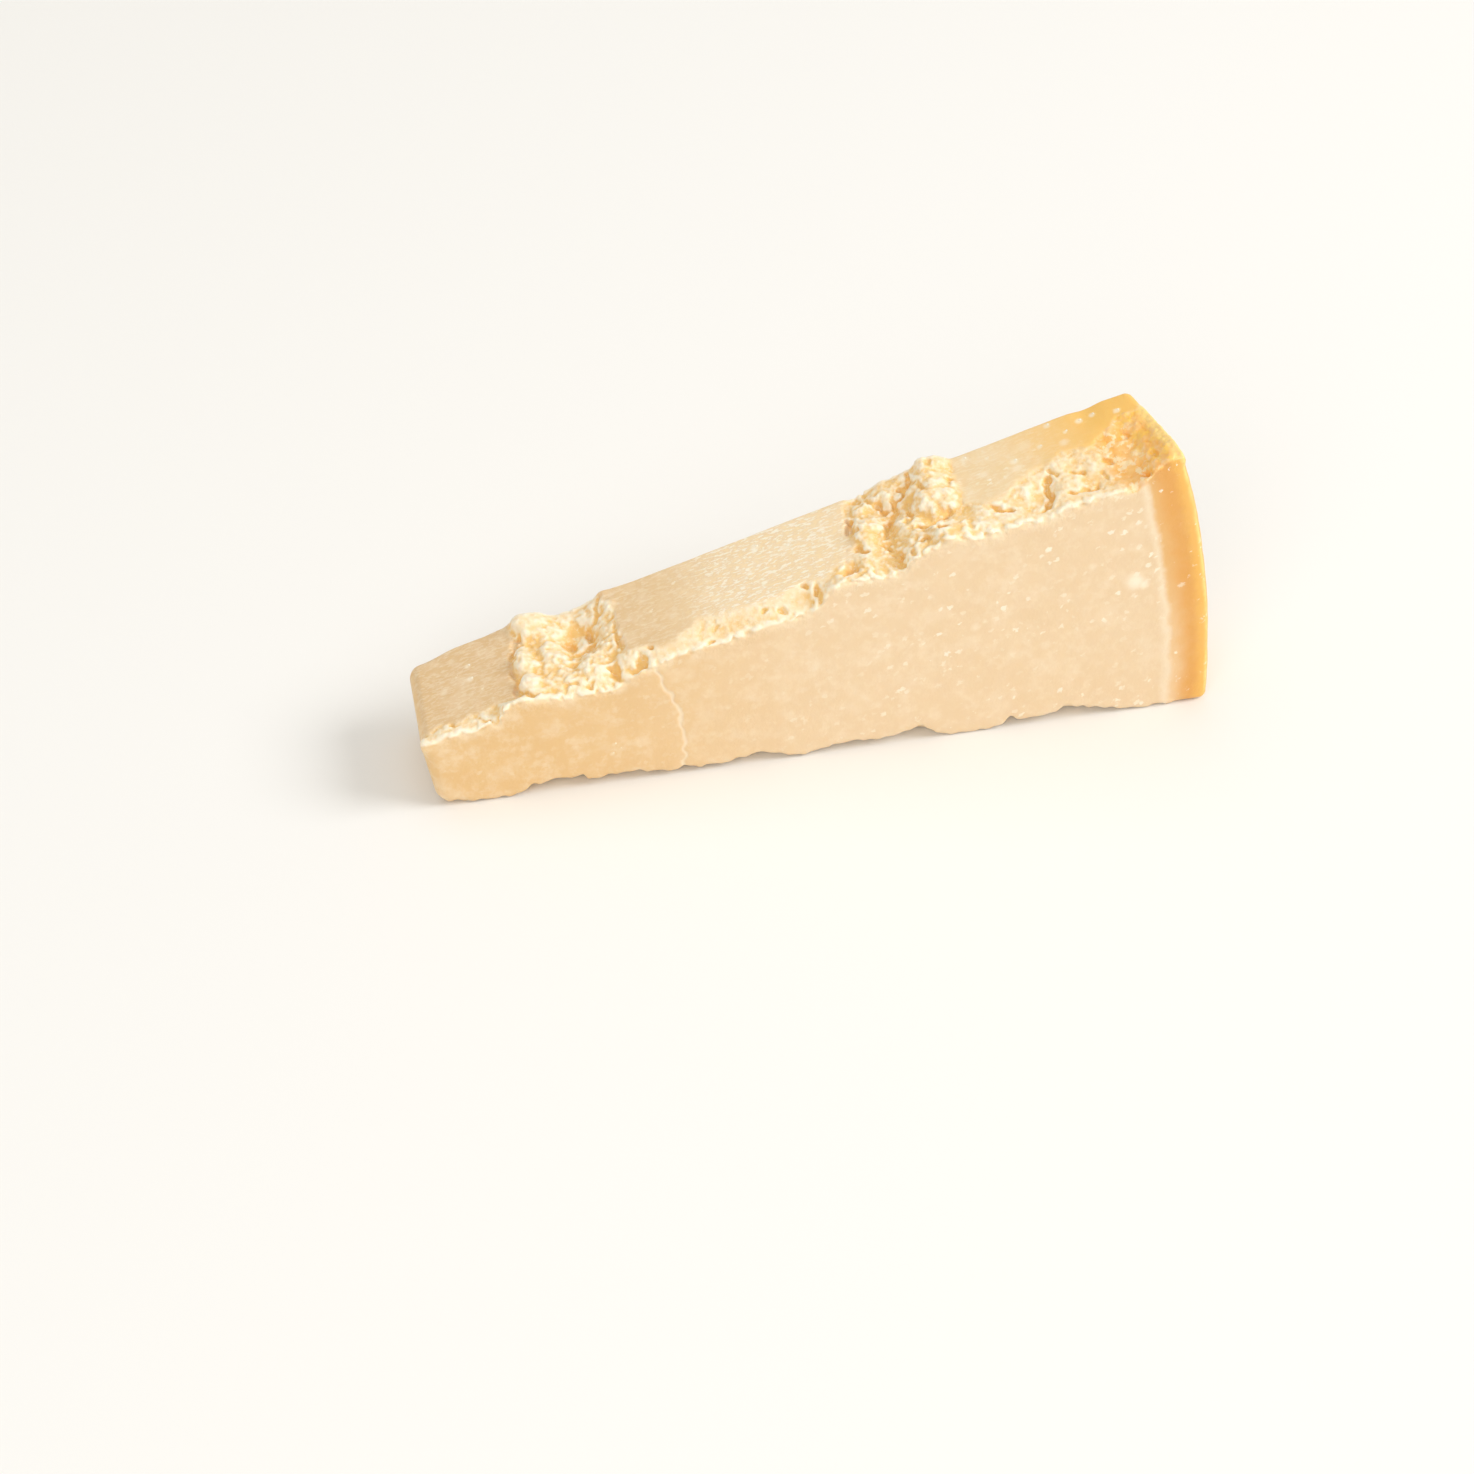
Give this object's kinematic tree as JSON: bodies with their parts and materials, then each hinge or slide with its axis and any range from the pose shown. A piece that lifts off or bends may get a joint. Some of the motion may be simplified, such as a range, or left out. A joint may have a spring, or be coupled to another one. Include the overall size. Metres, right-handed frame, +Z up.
{
  "type": "parmesan wedge",
  "caption": "Thin wedge of hard aged grating cheese lying on its side, with a pale grainy body, a partly broken crumbly top and a strip of yellow rind along its wide curved end.",
  "frame": {"origin": "centre of the footprint, on the surface that the wedge stands on", "axes": "+X runs from the narrow point to the rind, +Y from the front cut to the back cut, +Z up"},
  "size_m": [0.1686, 0.027, 0.0682],
  "materials": {
    "cheese": "waxy, grainy cream-coloured cheese, whiter and crumbly where it is broken, and yellow at the rind"
  },
  "bodies": {
    "root": {"wedge": "cheese"}
  },
  "joints": []
}
